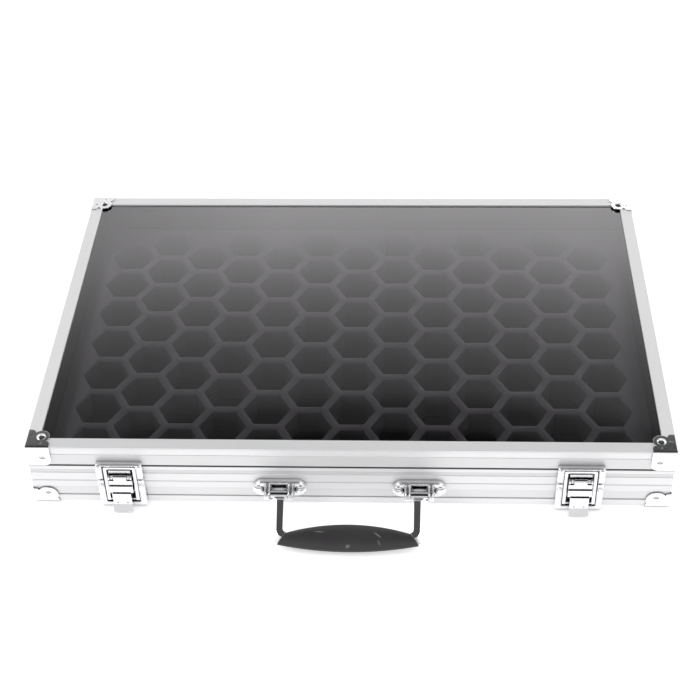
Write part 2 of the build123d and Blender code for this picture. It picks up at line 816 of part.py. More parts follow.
def build_lever(name, x):
    """Lever bent in three steps, with a barrel and cheeks on its pin and a finger tab below."""
    view = side_view(x, -half_depth, -1)
    with BuildPart() as lever:
        with BuildSketch(view) as upper:
            with BuildLine():
                Polyline(
                    (lever_upper_proud, lever_top),
                    (lever_upper_proud, lever_first_step),
                    (lever_middle_proud, lever_first_step - lever_step_slope),
                    (lever_middle_proud, lever_second_step - lever_step_lap),
                    (lever_middle_proud - lever_sheet, lever_second_step - lever_step_lap),
                    (lever_middle_proud - lever_sheet, lever_first_step - lever_step_slope - lever_step_lap),
                    (lever_upper_proud - lever_sheet, lever_first_step - lever_step_lap),
                    (lever_upper_proud - lever_sheet, lever_top),
                    close=True,
                )
            make_face()
        extrude(upper.sketch, amount=lever_half_width, both=True)
        with BuildSketch(view) as lower:
            with BuildLine():
                Polyline(
                    (lever_middle_proud, lever_second_step),
                    (lever_lower_proud, lever_second_step - lever_step_slope),
                    (lever_lower_proud, tab_bend_height),
                    (tab_end_proud, tab_end_height),
                    (tab_end_proud - lever_sheet, tab_end_height - lever_step_slope),
                    (lever_lower_proud - lever_sheet, tab_bend_height - lever_step_lap),
                    (lever_lower_proud - lever_sheet, lever_second_step - lever_sheet),
                    (lever_middle_proud - lever_step_slope, lever_second_step - lever_sheet),
                    (lever_middle_proud - lever_step_slope, lever_second_step),
                    close=True,
                )
            make_face()
        extrude(lower.sketch, amount=lever_low_half_width, both=True)
        with BuildSketch(view) as barrel:
            with Locations((lever_axis_proud, lever_axis_height)):
                Circle(lever_round)
            block_from(lever_upper_proud - lever_sheet, lever_top - ear_gap, lever_upper_proud, lever_axis_height)
        extrude(barrel.sketch, amount=ear_inner - ear_gap, both=True)
        for sign in (-1, 1):
            cheek_middle = sign * (lever_cheek_inner + lever_half_width) / 2
            with BuildSketch(side_view(x + cheek_middle, -half_depth, -1)) as cheek:
                with Locations((lever_axis_proud, lever_axis_height)):
                    Circle(lever_round)
                Polygon(
                    (cheek_back, lever_axis_height),
                    (cheek_back, lever_second_step),
                    (lever_middle_proud - lever_step_slope, lever_second_step),
                    (lever_middle_proud - lever_step_slope, lever_first_step - lever_step_slope),
                    (lever_upper_proud - lever_step_slope, lever_first_step),
                    (lever_upper_proud - lever_step_slope, lever_axis_height),
                    align=None,
                )
            extrude(cheek.sketch, amount=(lever_half_width - lever_cheek_inner) / 2, both=True)
            web_middle = sign * (lever_low_cheek_inner + lever_half_width) / 2
            with BuildSketch(side_view(x + web_middle, -half_depth, -1)) as web:
                block_from(
                    cheek_back, lever_second_step - ear_gap, lever_middle_proud - lever_step_slope, cheek_step_height
                )
            extrude(web.sketch, amount=(lever_half_width - lever_low_cheek_inner) / 2, both=True)
            low_middle = sign * (lever_low_cheek_inner + lever_low_half_width) / 2
            with BuildSketch(side_view(x + low_middle, -half_depth, -1)) as low_cheek:
                Polygon(
                    (cheek_back, cheek_step_height),
                    (cheek_back, bail_axis_height),
                    (bail_axis_proud - lever_step_lap, bail_axis_height - 2 * lever_sheet),
                    (lever_lower_proud - lever_step_slope, tab_bend_height),
                    (lever_lower_proud - lever_step_slope, lever_second_step - lever_sheet),
                    (lever_middle_proud - lever_step_slope, lever_second_step - lever_step_slope),
                    (lever_middle_proud - lever_step_slope, cheek_step_height),
                    align=None,
                )
            extrude(low_cheek.sketch, amount=(lever_low_half_width - lever_low_cheek_inner) / 2, both=True)
        with BuildSketch(view) as bores:
            with Locations((lever_axis_proud, lever_axis_height)):
                Circle(latch_pin_radius + fit)
            with Locations((bail_axis_proud, bail_axis_height)):
                Circle(bail_pin_radius + fit)
        extrude(bores.sketch, amount=lever_half_width + 1, both=True, mode=Mode.SUBTRACT)
        with BuildSketch(front_face(x).offset(lever_lower_proud)) as dimples:
            with Locations((-dimple_offset, dimple_height), (dimple_offset, dimple_height)):
                Circle(dimple_radius)
        extrude(dimples.sketch, amount=-dimple_depth, mode=Mode.SUBTRACT)
    save(lever, name)


def build_bail(name, x):
    """Flat loop hooked into the lever's cheeks; its top bar sits on the keeper's ridge."""
    bail_foot = bail_axis_height - bail_pin_radius - 2 * fit
    with BuildPart() as bail:
        for sign in (-1, 1):
            middle = sign * (bail_inner + bail_outer) / 2
            with BuildSketch(side_view(x + middle, -half_depth, -1)) as side_bar:
                Polygon(
                    (bail_back, bail_bar_top),
                    (bail_back + bail_arm_thickness, bail_bar_top),
                    (bail_axis_proud + bail_arm_thickness / 2, bail_foot),
                    (bail_axis_proud - bail_arm_thickness / 2, bail_foot),
                    align=None,
                )
            extrude(side_bar.sketch, amount=(bail_outer - bail_inner) / 2, both=True)
            pin_middle = sign * (lever_low_cheek_inner - ear_gap + bail_outer) / 2
            pin_length = bail_outer - lever_low_cheek_inner + ear_gap
            with BuildSketch(side_view(x + pin_middle, -half_depth, -1)) as end_pin:
                with Locations((bail_axis_proud, bail_axis_height)):
                    Circle(bail_pin_radius)
            extrude(end_pin.sketch, amount=pin_length / 2, both=True)
        with BuildSketch(side_view(x, -half_depth, -1)) as bar:
            block_from(bail_back, bail_bar_bottom, bail_back + bail_bar_thickness, bail_bar_top)
        extrude(bar.sketch, amount=bail_outer, both=True)
        outer_ends = bail.edges().filter_by(Axis.Y).filter_by(
            lambda edge: abs(abs(edge.center().X - x) - bail_outer) < 0.01 and edge.center().Z > bail_bar_top - fit
        )
        fillet(outer_ends, bail_corner_round)
    save(bail, name)


for side_name, x_centre in latch_sides.items():
    build_keeper(f"keeper_{side_name}", x_centre)
    build_latch_base(f"latch_base_{side_name}", x_centre)
    build_lever(f"latch_lever_{side_name}", x_centre)
    build_bail(f"latch_bail_{side_name}", x_centre)

with BuildPart() as latch_pins:
    for x_centre in latch_sides.values():
        with BuildSketch(side_view(x_centre, -half_depth, -1)) as pin:
            with Locations((lever_axis_proud, lever_axis_height)):
                Circle(latch_pin_radius)
        extrude(pin.sketch, amount=lever_half_width, both=True)
save(latch_pins, "latch_pins")

with BuildPart() as keeper_rivet_group:
    for spot, depth in keeper_rivets:
        add_rivet(spot, depth, plate_head_radius, plate_head_height, small_shank_radius)
save(keeper_rivet_group, "keeper_rivets")

with BuildPart() as latch_rivet_group:
    for spot, depth in latch_base_rivets:
        add_rivet(spot, depth, plate_head_radius, plate_head_height, small_shank_radius)
save(latch_rivet_group, "latch_base_rivets")


# Rear hinges
def knuckle(x, length, radius_out):
    with BuildSketch(side_view(x, half_depth, 1)) as ring:
        with Locations((hinge_axis_proud, parting_height)):
            Circle(radius_out)
    extrude(ring.sketch, amount=length / 2, both=True)


def pin_bore():
    for x in hinge_centres:
        with BuildSketch(side_view(x, half_depth, 1)) as bore:
            with Locations((hinge_axis_proud, parting_height)):
                Circle(hinge_pin_radius + fit)
        extrude(bore.sketch, amount=hinge_width, both=True, mode=Mode.SUBTRACT)


outer_knuckle = (hinge_width - middle_knuckle) / 2 - knuckle_gap
outer_knuckle_centre = hinge_width / 2 - outer_knuckle / 2
knuckle_clear = knuckle_radius + knuckle_gap

with BuildPart() as hinge_base_leaves:
    for x_centre in hinge_centres:
        with BuildSketch(rear_face(x_centre)) as leaf:
            block_from(-hinge_width / 2, base_leaf_bottom, hinge_width / 2, parting_height - knuckle_clear)
            for sign in (-1, 1):
                with Locations((sign * outer_knuckle_centre, parting_height - leaf_overlap - leaf_tongue / 2)):
                    Rectangle(outer_knuckle, leaf_tongue)
        extrude(leaf.sketch, amount=hinge_leaf)
        for sign in (-1, 1):
            knuckle(x_centre + sign * outer_knuckle_centre, outer_knuckle, knuckle_radius)
    pin_bore()
    drill(hinge_base_rivets, small_shank_radius + fit)
save(hinge_base_leaves, "hinge_base_leaves")

with BuildPart() as hinge_lid_leaves:
    for x_centre in hinge_centres:
        with BuildSketch(rear_face(x_centre)) as leaf:
            block_from(-hinge_width / 2, parting_height + knuckle_clear, hinge_width / 2, lid_leaf_top)
            with Locations((0, parting_height + leaf_overlap + leaf_tongue / 2)):
                Rectangle(middle_knuckle, leaf_tongue)
        extrude(leaf.sketch, amount=hinge_leaf)
        knuckle(x_centre, middle_knuckle, knuckle_radius)
    pin_bore()
    drill(hinge_lid_rivets, small_shank_radius + fit)
save(hinge_lid_leaves, "hinge_lid_leaves")

with BuildPart() as hinge_pins:
    for x_centre in hinge_centres:
        with BuildSketch(side_view(x_centre, half_depth, 1)) as pin:
            with Locations((hinge_axis_proud, parting_height)):
                Circle(hinge_pin_radius)
        extrude(pin.sketch, amount=hinge_width / 2, both=True)
        for sign in (-1, 1):
            knuckle(x_centre + sign * (hinge_width + pin_head_length) / 2, pin_head_length, pin_head_radius)
save(hinge_pins, "hinge_pins")

with BuildPart() as hinge_base_rivet_group:
    for spot, depth in hinge_base_rivets:
        add_rivet(spot, depth, plate_head_radius, plate_head_height, small_shank_radius)
save(hinge_base_rivet_group, "hinge_base_rivets")

with BuildPart() as hinge_lid_rivet_group:
    for spot, depth in hinge_lid_rivets:
        add_rivet(spot, depth, plate_head_radius, plate_head_height, small_shank_radius)
save(hinge_lid_rivet_group, "hinge_lid_rivets")


# Handle brackets
def build_bracket(name, x):
    with BuildPart() as bracket:
        with BuildSketch(front_face(x)):
            with Locations((0, bracket_height)):
                SlotOverall(bracket_width, bracket_tall)
        extrude(amount=bracket_proud)
        rim = bracket.faces().sort_by(Axis.Y)[0].edges()
        fillet(rim, bracket_round)
        for sign in (-1, 1):
            with BuildSketch(side_view(x + sign * lug_centre, -half_depth, -1)) as lug:
                Polygon(
                    (lug_root_proud, handle_axis_height - lug_root_half),
                    (lug_root_proud, handle_axis_height + lug_root_half),
                    (lug_tip_proud, handle_axis_height + lug_tip_half),
                    (lug_tip_proud, handle_axis_height - lug_tip_half),
                    align=None,
                )
                with Locations((handle_axis_proud, handle_axis_height)):
                    Circle(lug_radius)
                    Circle(handle_pin_radius + fit, mode=Mode.SUBTRACT)
            extrude(lug.sketch, amount=lug_thickness / 2, both=True)
        drill(handle_rivets, handle_shank_radius + fit)
    save(bracket, name)


for side_name, x_centre in handle_sides.items():
    build_bracket(f"handle_bracket_{side_name}", x_centre)

with BuildPart() as handle_pins:
    for x_centre in handle_sides.values():
        with BuildSketch(side_view(x_centre, -half_depth, -1)) as pin:
            with Locations((handle_axis_proud, handle_axis_height)):
                Circle(handle_pin_radius)
        extrude(pin.sketch, amount=lug_centre + lug_thickness / 2 + pin_end, both=True)
save(handle_pins, "handle_pins")

with BuildPart() as handle_rivet_group:
    for spot, depth in handle_rivets:
        add_rivet(spot, depth, handle_head_radius, handle_head_height, handle_shank_radius)
save(handle_rivet_group, "handle_rivets")

# Handle: a flat loop with bevelled arms, and a grip in two halves round its front bar.
# In the handle's plane local x is across, local y is back towards the case and z is its upper side.
handle_plane = Plane(
    (0, -half_depth - handle_axis_proud, handle_axis_height), x_dir=(1, 0, 0), z_dir=(0, 0, 1)
).rotated((handle_pitch, 0, 0))


def frame_outline():
    with BuildSketch() as outline:
        with BuildLine():
            Polyline(
                (arm_outer_back, 0),
                (arm_outer_front, -frame_corner_reach),
                (arm_inner_back - frame_end_offset, -bar_front_end),
                (0, -bar_front_middle),
                (frame_end_offset - arm_inner_back, -bar_front_end),
                (-arm_outer_front, -frame_corner_reach),
                (-arm_outer_back, 0),
                (-arm_inner_back, 0),
                (-arm_inner_front, -bar_inner_end),
                (0, -bar_inner_middle),
                (arm_inner_front, -bar_inner_end),
                (arm_inner_back, 0),
                close=True,
            )
        make_face()
        for sign in (-1, 1):
            outer = outline.vertices().sort_by_distance((sign * arm_outer_front, -frame_corner_reach))[0]
            fillet(outer, frame_outer_round)
            inner = outline.vertices().sort_by_distance((sign * arm_inner_front, -bar_inner_end))[0]
            fillet(inner, frame_inner_round)
    return outline.sketch


def grip_outline():
    with BuildSketch() as outline:
        with BuildLine():
            ThreePointArc(
                (-grip_inner_half, -grip_inner_end), (0, -grip_inner_middle), (grip_inner_half, -grip_inner_end)
            )
            Line((grip_inner_half, -grip_inner_end), (grip_front_half, -grip_front_end))
            ThreePointArc(
                (grip_front_half, -grip_front_end), (0, -grip_front_middle), (-grip_front_half, -grip_front_end)
            )
            Line((-grip_front_half, -grip_front_end), (-grip_inner_half, -grip_inner_end))
        make_face()
    return outline.sketch


def on_outer_edge(edge):
    """Whether an edge of the frame's upper face lies on its outer side."""
    middle = handle_plane.to_local_coords(edge.center())
    return abs(middle.X) > arm_inner_back + fit or middle.Y < -frame_corner_reach


with BuildPart() as loop_blank:
    with BuildSketch(handle_plane):
        add(frame_outline())
    extrude(amount=arm_thickness / 2, both=True)
    upper_face = loop_blank.faces().sort_by(Axis(handle_plane.origin, handle_plane.z_dir))[-1]
    outer_edges = upper_face.edges().filter_by(on_outer_edge)
    chamfer(outer_edges, bevel_width, bevel_drop, reference=upper_face)

# The thinner part of the loop that the grip's halves close round
with BuildPart() as grip_core:
    add(loop_blank.part)
    with BuildSketch(handle_plane):
        Rectangle(2 * arm_outer_back, 4 * bar_front_middle)
    extrude(amount=bar_thickness / 2, both=True, mode=Mode.INTERSECT)

with BuildPart() as handle_frame:
    add(loop_blank.part)
    for sign in (-1, 1):
        with BuildSketch(handle_plane.offset(sign * bar_thickness / 2)) as trim:
            add(grip_outline())
        extrude(trim.sketch, amount=sign * arm_thickness, mode=Mode.SUBTRACT)
    for x_centre in handle_sides.values():
        with BuildSketch(side_view(x_centre, -half_depth, -1)) as barrel:
            with Locations((handle_axis_proud, handle_axis_height)):
                Circle(handle_barrel_radius)
        extrude(barrel.sketch, amount=handle_barrel_width / 2, both=True)
        with BuildSketch(side_view(x_centre, -half_depth, -1)) as bore:
            with Locations((handle_axis_proud, handle_axis_height)):
                Circle(handle_pin_radius + fit)
        extrude(bore.sketch, amount=handle_barrel_width, both=True, mode=Mode.SUBTRACT)
save(handle_frame, "handle_frame")


def crowned(view, near, far, rim, top, sign):
    """Keep what lies under an arch over this stretch of the view, rim high at its ends."""
    crown = sign * top
    foot = sign * rim
    with BuildSketch(view) as arch:
        with BuildLine():
            ThreePointArc((near, foot), ((near + far) / 2, crown), (far, foot))
            Polyline((far, foot), (far, -crown), (near, -crown), (near, foot))
        make_face()
    extrude(arch.sketch, amount=arm_outer_back, both=True, mode=Mode.INTERSECT)


across_grip = Plane(handle_plane.origin, x_dir=-handle_plane.y_dir, z_dir=-handle_plane.x_dir)
along_grip = Plane(handle_plane.origin, x_dir=handle_plane.x_dir, z_dir=-handle_plane.y_dir)
for grip_name, sign in (("handle_grip_upper", 1), ("handle_grip_lower", -1)):
    with BuildPart() as grip:
        with BuildSketch(handle_plane) as leaf:
            add(grip_outline())
        extrude(leaf.sketch, amount=sign * grip_half_thickness)
        crowned(
            across_grip,
            grip_inner_middle - grip_overrun,
            grip_front_middle + grip_overrun,
            grip_rim_thickness,
            grip_half_thickness,
            sign,
        )
        crowned(
            along_grip,
            -grip_front_half - grip_overrun,
            grip_front_half + grip_overrun,
            grip_end_thickness,
            grip_half_thickness + grip_long_rise,
            sign,
        )
        add(grip_core.part, mode=Mode.SUBTRACT)
    save(grip, grip_name)
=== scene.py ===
import json
import math
import bmesh
import bpy
import numpy as np
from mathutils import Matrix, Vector

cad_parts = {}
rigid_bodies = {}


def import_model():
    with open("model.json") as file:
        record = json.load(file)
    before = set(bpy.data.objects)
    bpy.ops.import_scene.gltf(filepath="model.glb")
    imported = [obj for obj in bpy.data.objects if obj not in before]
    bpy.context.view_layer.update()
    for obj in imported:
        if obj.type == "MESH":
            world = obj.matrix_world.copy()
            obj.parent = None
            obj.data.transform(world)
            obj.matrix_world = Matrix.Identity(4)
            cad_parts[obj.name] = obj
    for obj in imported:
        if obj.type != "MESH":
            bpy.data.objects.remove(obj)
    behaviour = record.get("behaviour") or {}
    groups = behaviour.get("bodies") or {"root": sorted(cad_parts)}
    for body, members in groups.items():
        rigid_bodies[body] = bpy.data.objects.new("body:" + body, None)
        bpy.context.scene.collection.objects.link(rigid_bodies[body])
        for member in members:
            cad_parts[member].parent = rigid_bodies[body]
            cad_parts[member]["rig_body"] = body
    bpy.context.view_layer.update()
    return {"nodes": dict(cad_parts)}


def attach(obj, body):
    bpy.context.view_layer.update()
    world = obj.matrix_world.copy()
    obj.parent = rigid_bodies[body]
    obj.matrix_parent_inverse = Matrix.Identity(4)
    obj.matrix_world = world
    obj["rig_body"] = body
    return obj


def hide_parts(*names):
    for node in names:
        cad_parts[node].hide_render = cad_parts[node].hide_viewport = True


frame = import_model()
scene = bpy.context.scene
nodes = frame["nodes"]


# Shader maths: a wire wraps a socket, and Python operators on it add Math nodes.
class Wire:
    def __init__(self, tree, socket=None):
        self.tree = tree
        self.socket = socket

    # A new node with its settings and inputs set; the wire that comes back is at one of its outputs
    def node(self, kind, settings=None, sockets=None, out=0):
        made = self.tree.nodes.new(kind)
        for name, value in (settings or {}).items():
            setattr(made, name, value)
        for name, value in (sockets or {}).items():
            if isinstance(value, Wire):
                self.tree.links.new(value.socket, made.inputs[name])
            else:
                made.inputs[name].default_value = value
        return Wire(self.tree, made.outputs[out])

    # A grey ramp of this value, from two or more pairs of place and level in rising order
    def ramp(self, stops):
        made = self.tree.nodes.new("ShaderNodeValToRGB")
        elements = made.color_ramp.elements
        for index, (place, level) in enumerate(stops):
            if index >= len(elements):
                elements.new(place)
            elements[index].position = place
            elements[index].color = (level, level, level, 1.0)
        self.tree.links.new(self.socket, made.inputs["Fac"])
        return Wire(self.tree, made.outputs[0])

    def maths(self, operation, first, second=0.0):
        return self.node("ShaderNodeMath", {"operation": operation}, {0: first, 1: second})

    def __add__(self, other):
        return self.maths("ADD", self, other)

    def __radd__(self, other):
        return self.maths("ADD", other, self)

    def __sub__(self, other):
        return self.maths("SUBTRACT", self, other)

    def __rsub__(self, other):
        return self.maths("SUBTRACT", other, self)

    def __mul__(self, other):
        return self.maths("MULTIPLY", self, other)

    def __rmul__(self, other):
        return self.maths("MULTIPLY", other, self)

    def limited(self):
        return self.node("ShaderNodeClamp", {}, {"Value": self})


def startMaterial(name):
    material = bpy.data.materials.new(name)
    material.use_nodes = True
    material.node_tree.nodes.clear()
    return material, Wire(material.node_tree)


def closeMaterial(material, shader):
    output = material.node_tree.nodes.new("ShaderNodeOutputMaterial")
    material.node_tree.links.new(shader.socket, output.inputs["Surface"])
    return material


def objectPlace(wire):
    return wire.node("ShaderNodeTexCoord", out="Object")


# One part, "X", "Y" or "Z", of a vector
def part(vector, axis):
    return vector.node("ShaderNodeSeparateXYZ", {}, {"Vector": vector}, out=axis)


# One of the object coordinates, in metres
def along(wire, axis):
    return part(objectPlace(wire), axis)


# 0 up to a place of a value, and then a rise to 1 with the given slope
def risesFrom(value, start, slope):
    return ((value - start) * slope).limited()


# A fall from 1 with the given slope, and 0 from a place of a value on
def fallsTo(value, end, slope):
    return ((end - value) * slope).limited()


# 1 between two places of a value and 0 outside, with soft ends
def band(value, low, high, soft):
    return risesFrom(value, low - soft, 1.0 / soft) * fallsTo(value, high + soft, 1.0 / soft)


sharpSlope = 5000.0


# 1 where a value is nearer to the middle than a limit, and 0 from the limit on
def within(value, limit, slope=sharpSlope):
    return fallsTo(value.maths("ABSOLUTE", value), limit, slope)


# Noise by place, in cycles per metre: one number, or one for each axis
def noise(wire, scale, detail=2.0, roughness=0.5):
    perAxis = (scale, scale, scale) if isinstance(scale, float) else scale
    stretched = wire.node("ShaderNodeMapping", {}, {"Vector": objectPlace(wire), "Scale": perAxis})
    return wire.node("ShaderNodeTexNoise", {}, {
        "Vector": stretched, "Scale": 1.0, "Detail": detail, "Roughness": roughness})


# One colour turned into another by a factor; each is a wire or three numbers
def mixed(wire, factor, first, second):
    first, second = (colour if isinstance(colour, Wire) else colour + (1.0,) for colour in (first, second))
    # Inputs 6 and 7 and output 2 are this node's sockets for colours
    return wire.node("ShaderNodeMix", {"data_type": "RGBA"}, {0: factor, 6: first, 7: second}, out=2)


def principled(wire, sockets):
    return wire.node("ShaderNodeBsdfPrincipled", {}, sockets)


edgeSamples = 6


# A bumped normal, on edges rounded by a small radius where one is given
def bump(wire, height, strength, depth, radius=0.0):
    sockets = {"Height": height, "Strength": strength, "Distance": depth}
    if radius:
        sockets["Normal"] = wire.node("ShaderNodeBevel", {"samples": edgeSamples}, {"Radius": radius})
    return wire.node("ShaderNodeBump", {}, sockets)


print("materials")

noiseMiddle = 0.5
# Lengths and heights are in metres. A seam or a band is its low end, its high end and the strength of the
# dark line painted there: a painted shadow in the seam and painted shade lines at the other heights.
aluminiumLook = {
    "dark": (0.77, 0.77, 0.78), "light": (0.89, 0.89, 0.90), "paintedShade": (0.02, 0.02, 0.02),
    "fineShare": 0.55, "cloudShare": 0.45, "cloudScale": (9.0, 9.0, 60.0),
    "metallic": 0.62, "roughness": 0.50, "fineGrain": 0.14, "cloudGrain": 0.08,
    "bump": 0.6, "bumpDepth": 0.00008, "edge": 0.0004,
    "seam": (0.0341, 0.0352, 0.92), "softness": 0.0005,
    "paintedShadeBands": (
        (0.0277, 0.0307, 0.16), (0.0072, 0.0143, 0.07), (0.00645, 0.00715, 0.15),
        (0.0200, 0.0208, 0.12), (0.0352, 0.0443, 0.12), (0.0498, 0.0506, 0.12),
    ),
    "seamX": 0.2090, "seamY": 0.1365, "innerShadeX": 0.2022, "innerShadeY": 0.1297, "innerShadeTop": 0.0482,
}
# Painted light: the side and rear rails are the same aluminium painted lighter than the front rails
paintedLightRailLook = {**aluminiumLook, "dark": (0.87, 0.87, 0.88), "light": (0.97, 0.97, 0.98)}
# The drawn lines run along X in the front and rear rails and along Y in the side rails
lineScales = {"X": (6.0, 5200.0, 5200.0), "Y": (5200.0, 6.0, 5200.0)}


# Drawn aluminium: fine lines along the extrusion and cloudy patches, with a painted shadow in the seam and
# painted shade lines in the recesses, but not on the faces that meet there. The rails' inner faces are
# painted black as painted shade.
def aluminium(name, lines, look):
    material, wire = startMaterial(name)
    fine = noise(wire, lineScales[lines], 4.0, 0.7)
    cloud = noise(wire, look["cloudScale"])
    shade = (fine * look["fineShare"] + cloud * look["cloudShare"]).limited()
    rough = look["roughness"] + look["fineGrain"] * (fine - noiseMiddle)
    rough = rough + look["cloudGrain"] * (cloud - noiseMiddle)
    sideways, backward, height = (along(wire, axis) for axis in "XYZ")
    matingFace = within(sideways, look["seamX"]) * within(backward, look["seamY"])
    # Painted shadow: a dark line along the seam between lid and base, and painted shade lines at the listed
    # heights
    low, high, strength = look["seam"]
    paintedShade = band(height, low, high, look["softness"]) * strength * (1.0 - matingFace)
    for low, high, strength in look["paintedShadeBands"]:
        paintedShade = paintedShade + band(height, low, high, look["softness"]) * strength
    # Painted shade: the rails' inner faces, inside the case below its top, are painted black
    innerFaceShade = within(sideways, look["innerShadeX"]) * within(backward, look["innerShadeY"])
    innerFaceShade = innerFaceShade * within(height, look["innerShadeTop"])
    clean = mixed(wire, shade, look["dark"], look["light"])
    return closeMaterial(material, principled(wire, {
        "Base Color": mixed(wire, (paintedShade + innerFaceShade).limited(), clean, look["paintedShade"]),
        "Metallic": look["metallic"],
        "Roughness": rough.limited(),
        "Normal": bump(wire, fine, look["bump"], look["bumpDepth"], look["edge"]),
    }))


chromeLook = {
    "dark": (0.78, 0.78, 0.80), "light": (0.92, 0.92, 0.94), "roughness": 0.07,
    "smudge": 0.08, "smudgeScale": 140.0, "smudgeMiddle": 0.45,
    "wave": 0.06, "waveScale": 190.0, "waveDepth": 0.0003, "edge": 0.0004,
    "paintedShade": (0.03, 0.03, 0.03), "cornerShade": 1.9, "cornerShadeStart": 0.22, "cornerShadeReach": 0.004, "cornerShadeSamples": 8,
}
plateLook = {**chromeLook, "edge": 0.0026}
rivetLook = {**chromeLook, "roughness": 0.13, "edge": 0.0002}
steelLook = {
    **chromeLook, "dark": (0.55, 0.55, 0.57), "light": (0.66, 0.66, 0.68), "roughness": 0.25,
    "smudge": 0.12, "wave": 0.02, "edge": 0.0002,
}


# Bright plating with faint handling smudges, a slight waviness from stamping and painted shade in its corners
def chrome(name, look):
    material, wire = startMaterial(name)
    smudge = noise(wire, look["smudgeScale"], 4.0, 0.6)
    wave = noise(wire, look["waveScale"], 1.0)
    rough = look["roughness"] + look["smudge"] * (smudge - look["smudgeMiddle"])
    clean = mixed(wire, smudge, look["light"], look["dark"])
    # Painted shade: the colour darkens where other faces are near, as in corners and under ledges, in the
    # pose shown
    openness = wire.node("ShaderNodeAmbientOcclusion", {"samples": look["cornerShadeSamples"]}, {
        "Distance": look["cornerShadeReach"]}, out="AO")
    cornerShade = ((1.0 - look["cornerShadeStart"] - openness) * look["cornerShade"]).limited()
    return closeMaterial(material, principled(wire, {
        "Base Color": mixed(wire, cornerShade, clean, look["paintedShade"]),
        "Metallic": 1.0,
        "Roughness": rough.limited(),
        "Normal": bump(wire, wave, look["wave"], look["waveDepth"], look["edge"]),
    }))


windowLook = {
    "tint": (0.86, 0.85, 0.87), "ior": 2.0, "gain": 1.53, "roughness": 0.012,
    "mirrorDark": (0.90, 0.88, 0.90), "mirrorLight": (0.97, 0.95, 0.97),
    "haze": 0.01, "hazeScale": 14.0,
    "dust": 0.02, "dustScale": 900.0, "dustStops": ((0.70, 0.0), (0.80, 1.0)),
}


# Clear sheet with a slight smoky tint over the black foam, mirror-like on the outside, with faint dust
def smokedWindow(name, look):
    material, wire = startMaterial(name)
    specks = noise(wire, look["dustScale"], 3.0, 0.7).ramp(look["dustStops"])
    haze = noise(wire, look["hazeScale"], 3.0, 0.6)
    outside = 1.0 - wire.node("ShaderNodeNewGeometry", out="Backfacing")
    reflect = wire.node("ShaderNodeFresnel", {}, {"IOR": look["ior"]}) * outside * look["gain"]
    mirror = principled(wire, {
        "Base Color": mixed(wire, haze, look["mirrorDark"], look["mirrorLight"]),
        "Metallic": 1.0,
        "Roughness": (look["roughness"] + look["haze"] * haze).limited(),
    })
    tint = wire.node("ShaderNodeBsdfTransparent", {}, {"Color": look["tint"] + (1.0,)})
    mirrorShare = (reflect + look["dust"] * specks).limited()
    return closeMaterial(material, wire.node("ShaderNodeMixShader", {}, {0: mirrorShare, 1: tint, 2: mirror}))


foamLook = {
    "dark": (0.046, 0.044, 0.046), "light": (0.068, 0.066, 0.068), "roughness": 0.28, "gloss": 0.8,
    "mottleScale": 90.0, "mottleShare": 0.7, "mottleGrain": 0.12,
    "cellScale": 2600.0, "cellShare": 0.3, "bump": 0.05, "bumpDepth": 0.0001,
}
# Painted shade: the pad at the bottom of the wells is the same foam painted near black
shadedPadLook = {
    **foamLook, "dark": (0.004, 0.004, 0.004), "light": (0.009, 0.009, 0.009),
    "roughness": 0.90, "gloss": 0.3,
}


# Closed-cell foam: small cells over a slow mottle. The insert has a skin with a sheen, and the pad is matt
# and painted near black as painted shade at the bottom of the wells.
def foam(name, look):
    material, wire = startMaterial(name)
    cells = wire.node("ShaderNodeTexVoronoi", {}, {"Vector": objectPlace(wire), "Scale": look["cellScale"]})
    mottle = noise(wire, look["mottleScale"], 4.0, 0.6)
    shade = (mottle * look["mottleShare"] + cells * look["cellShare"]).limited()
    return closeMaterial(material, principled(wire, {
        "Base Color": mixed(wire, shade, look["dark"], look["light"]),
        "Roughness": (look["roughness"] + look["mottleGrain"] * mottle).limited(),
        "Specular IOR Level": look["gloss"],
        "Normal": bump(wire, cells, look["bump"], look["bumpDepth"]),
    }))


plasticTexture = {
    "sparkScale": 1500.0, "bump": 0.15, "bumpDepth": 0.0001, "mottleScale": 60.0, "mottleGrain": 0.12,
    "worn": (0.42, 0.42, 0.43), "wornGrain": 0.15,
}
gripLook = {
    **plasticTexture, "dark": (0.027, 0.025, 0.027), "light": (0.042, 0.040, 0.042),
    "roughness": 0.38, "gloss": 0.5,
}
blackLook = {
    **plasticTexture, "dark": (0.012, 0.012, 0.012), "light": (0.022, 0.022, 0.022),
    "roughness": 0.7, "gloss": 0.1,
}
panelLook = {
    **plasticTexture, "dark": (0.020, 0.020, 0.021), "light": (0.036, 0.036, 0.037),
    "roughness": 0.6, "gloss": 0.4,
}
# The handle's axis, and how far the grip's plane tips down towards the front
handlePlace = {"axisY": -0.1465, "axisZ": 0.018, "pitch": math.radians(20.0)}
# Light scuffs on the grip: across, towards the front, turn in degrees, half length, half width and strength
gripScuffs = (
    (-0.0182, -0.0270, -3.0, 0.0040, 0.00040, 0.60),
    (0.0190, -0.0289, -38.0, 0.0037, 0.00036, 0.80),
    (0.0200, -0.0339, -60.0, 0.0022, 0.0008, 0.25),
    (0.0, -0.0363, 20.0, 0.0020, 0.0012, 0.40),
)
scuffBreaks = {"scale": 900.0, "gain": 2.2, "start": 0.35}


